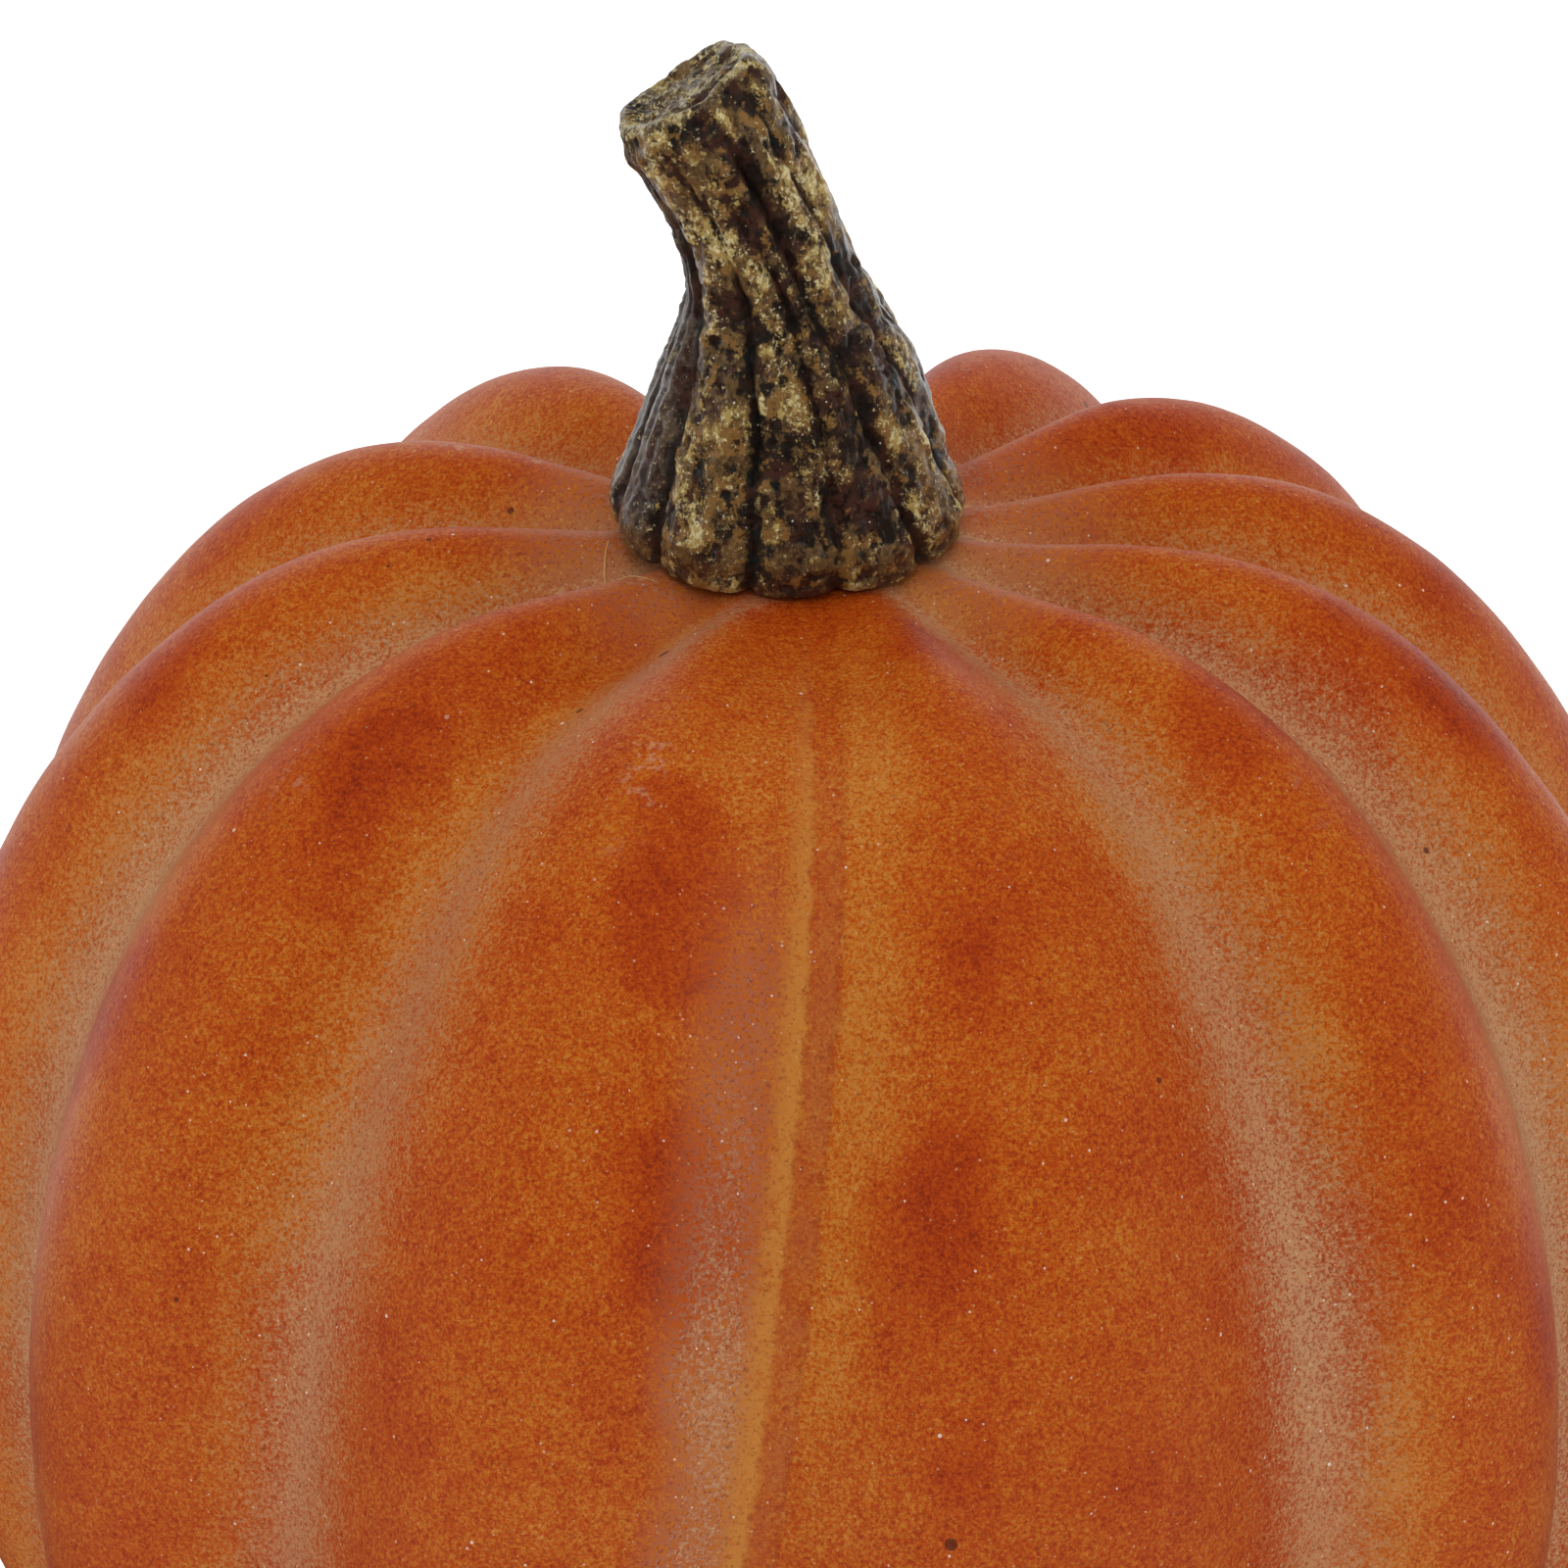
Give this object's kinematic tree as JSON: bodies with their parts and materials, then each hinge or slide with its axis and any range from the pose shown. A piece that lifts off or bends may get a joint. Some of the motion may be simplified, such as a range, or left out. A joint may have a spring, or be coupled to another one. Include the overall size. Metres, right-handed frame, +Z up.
{
  "type": "pumpkin ornament",
  "caption": "Hollow lobed pumpkin ornament in painted ceramic, with a bent ribbed stem glued into its crown and felt feet under its base.",
  "frame": {"origin": "on the surface the pumpkin stands on, under the axis of its shell", "axes": "+Z up, -Y towards the front, where the mould seam runs down a groove; the stem bows towards -X"},
  "size_m": [0.2763, 0.275, 0.3086],
  "materials": {
    "painted_orange": "satin sprayed paint, orange to red-brown over ochre, lightly speckled",
    "painted_stem": "dark brown paint, dry-brushed ochre and khaki, satin varnish",
    "epoxy": "cured dark epoxy",
    "felt": "dark brown felt"
  },
  "bodies": {
    "root": {"body_shell": "painted_orange", "stem": "painted_stem", "stem_adhesive": "epoxy", "foot_pad_1": "felt", "foot_pad_2": "felt", "foot_pad_3": "felt", "foot_pad_4": "felt"}
  },
  "joints": []
}
